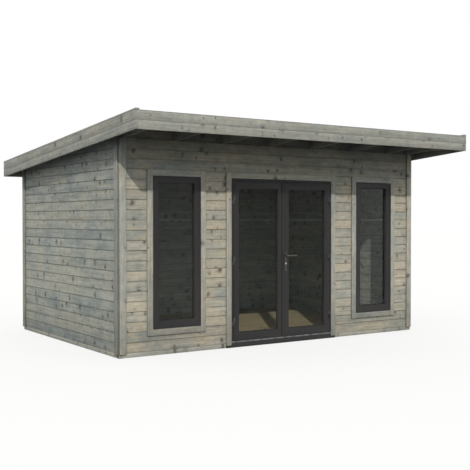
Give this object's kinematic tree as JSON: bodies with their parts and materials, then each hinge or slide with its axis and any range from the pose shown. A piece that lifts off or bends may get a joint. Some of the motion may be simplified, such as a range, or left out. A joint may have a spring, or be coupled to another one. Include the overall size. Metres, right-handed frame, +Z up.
{
  "type": "garden shed",
  "caption": "Mono-pitch timber garden shed with a deep front overhang, glazed double door with lever and tall fixed windows, on sill beams.",
  "frame": {"origin": "on the ground at the middle of the walls' footprint, under the centre floor joist", "axes": "+X along the front from left to right, -Y out of the front, +Z up"},
  "size_m": [4.854, 4.085, 2.6505],
  "materials": {
    "cladding_timber": "weathered grey-green softwood boards, knotty",
    "trim_timber": "pale grey treated softwood, knotty",
    "frame_timber": "plain planed softwood",
    "floor_timber": "planed softwood floor boards",
    "roof_timber": "grey treated softwood",
    "sill_timber": "treated softwood beams, darker near the ground",
    "dark_joinery": "anthracite painted joinery, satin",
    "pane": "clear flat glass",
    "threshold_metal": "mill aluminium strip",
    "hinge_metal": "dark coated steel",
    "lock_plate_metal": "dark grey coated plate",
    "lever_metal": "satin steel",
    "cylinder_metal": "nickel-plated, bright",
    "roof_felt": "mineral-faced bitumen roofing felt"
  },
  "bodies": {
    "building": {"front_sill": "sill_timber", "back_sill": "sill_timber", "side_sills": "sill_timber", "floor_joists": "sill_timber", "floor_boards": "floor_timber", "front_wall_left": "cladding_timber", "front_wall_right": "cladding_timber", "front_wall_over_door": "cladding_timber", "back_wall": "cladding_timber", "left_wall": "cladding_timber", "right_wall": "cladding_timber", "corner_posts": "frame_timber", "front_corner_boards": "trim_timber", "back_corner_boards": "trim_timber", "left_window_trim": "trim_timber", "right_window_trim": "trim_timber", "door_trim": "trim_timber", "left_window_frame": "dark_joinery", "right_window_frame": "dark_joinery", "left_window_glass": "pane", "right_window_glass": "pane", "door_frame": "dark_joinery", "door_threshold": "dark_joinery", "threshold_strip": "threshold_metal", "frame_hinges": "hinge_metal", "rafters": "roof_timber", "eaves_noggings": "roof_timber", "roof_lookouts": "roof_timber", "roof_boards": "roof_timber", "roof_felt": "roof_felt", "edge_battens": "trim_timber", "front_fascia": "trim_timber", "rear_fascia": "trim_timber", "left_fascia": "trim_timber", "right_fascia": "trim_timber"},
    "left_leaf": {"left_door_leaf": "dark_joinery", "left_door_glass": "pane", "left_door_hinges": "hinge_metal"},
    "right_leaf": {"right_door_leaf": "dark_joinery", "right_door_glass": "pane", "right_door_hinges": "hinge_metal", "lock_plates": "lock_plate_metal", "lock_cylinder": "cylinder_metal"},
    "lever": {"lever_handles": "lever_metal"}
  },
  "joints": [
    {"name": "left_door_hinge", "type": "hinge", "parent": "building", "child": "left_leaf", "pos_m": [-0.734, -1.54, 1], "axis": [0, 0, -1], "range_deg": [0, 105]},
    {"name": "right_door_hinge", "type": "hinge", "parent": "building", "child": "right_leaf", "pos_m": [0.762, -1.54, 1], "axis": [0, 0, 1], "range_deg": [0, 105]},
    {"name": "lever_turn", "type": "hinge", "parent": "right_leaf", "child": "lever", "pos_m": [0.04225, -1.53, 1.085], "axis": [0, 1, 0], "range_deg": [0, 40], "stiffness_Nm_per_rad": 1.5, "springref_deg": -22.92}
  ]
}
